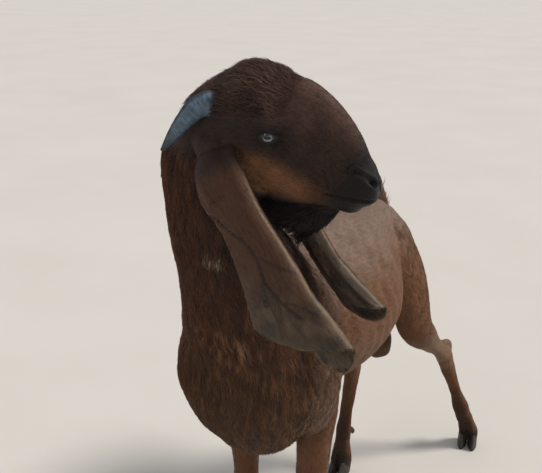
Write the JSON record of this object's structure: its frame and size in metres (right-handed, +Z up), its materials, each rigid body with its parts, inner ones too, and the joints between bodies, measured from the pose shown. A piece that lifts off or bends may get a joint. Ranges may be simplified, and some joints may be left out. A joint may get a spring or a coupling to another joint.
{
  "type": "animal figure",
  "caption": "Life-size standing goat with a convex nose, short horns, very long hanging ears, reddish-brown coat, head turned to its left",
  "frame": {"origin": "middle of the bounds in x and y, at the level of the hoof soles", "axes": "+Z up, the goat's body faces -Y, its left side and its turned head are toward +X"},
  "size_m": [0.4222, 1.0284, 1.1271],
  "materials": {
    "coat": "short satin fur, reddish brown on the neck and legs, greyish beige on the back",
    "horn": "matt slate-grey keratin of the horns and hooves",
    "eye": "wet and glossy, pale grey-blue iris with a dark level pupil"
  },
  "bodies": {
    "root": {"torso": "coat", "neck": "coat", "head": "coat", "tail": "coat", "scrotum": "coat", "foreleg_left": "coat", "foreleg_right": "coat", "hindleg_left": "coat", "hindleg_right": "coat", "ear_left": "coat", "ear_right": "coat", "horn_left": "horn", "horn_right": "horn", "hoof_front_left_inner": "horn", "hoof_front_left_outer": "horn", "hoof_front_right_inner": "horn", "hoof_front_right_outer": "horn", "hoof_hind_left_inner": "horn", "hoof_hind_left_outer": "horn", "hoof_hind_right_inner": "horn", "hoof_hind_right_outer": "horn", "eye_left": "eye", "eye_right": "eye"}
  },
  "joints": []
}
